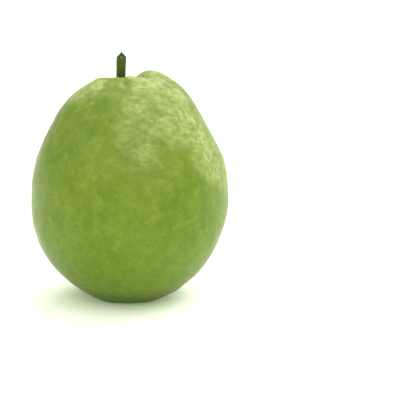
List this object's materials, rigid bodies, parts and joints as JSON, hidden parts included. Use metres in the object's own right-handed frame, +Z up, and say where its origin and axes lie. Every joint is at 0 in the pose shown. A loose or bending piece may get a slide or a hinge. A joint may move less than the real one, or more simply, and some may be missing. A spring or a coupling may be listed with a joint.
{
  "type": "guava",
  "caption": "Whole egg-shaped guava that stands on the lobed rim of its blossom end, with a short cut stalk in a pit on top and a dried calyx in the basin below.",
  "frame": {"origin": "on the surface the fruit stands on, under the middle of its bounding box", "axes": "+Z up, from the blossom end to the stalk; -Y is the front, the side with the crease between its two low shoulders; +X is towards the high shoulder"},
  "size_m": [0.09, 0.0894, 0.1122],
  "materials": {
    "skin": "satin",
    "stalk": "satin",
    "calyx": "matte"
  },
  "bodies": {
    "root": {"fruit": "skin", "stem": "stalk", "sepal_1": "calyx", "sepal_2": "calyx", "sepal_3": "calyx", "sepal_4": "calyx", "sepal_5": "calyx", "style": "calyx"}
  },
  "joints": []
}
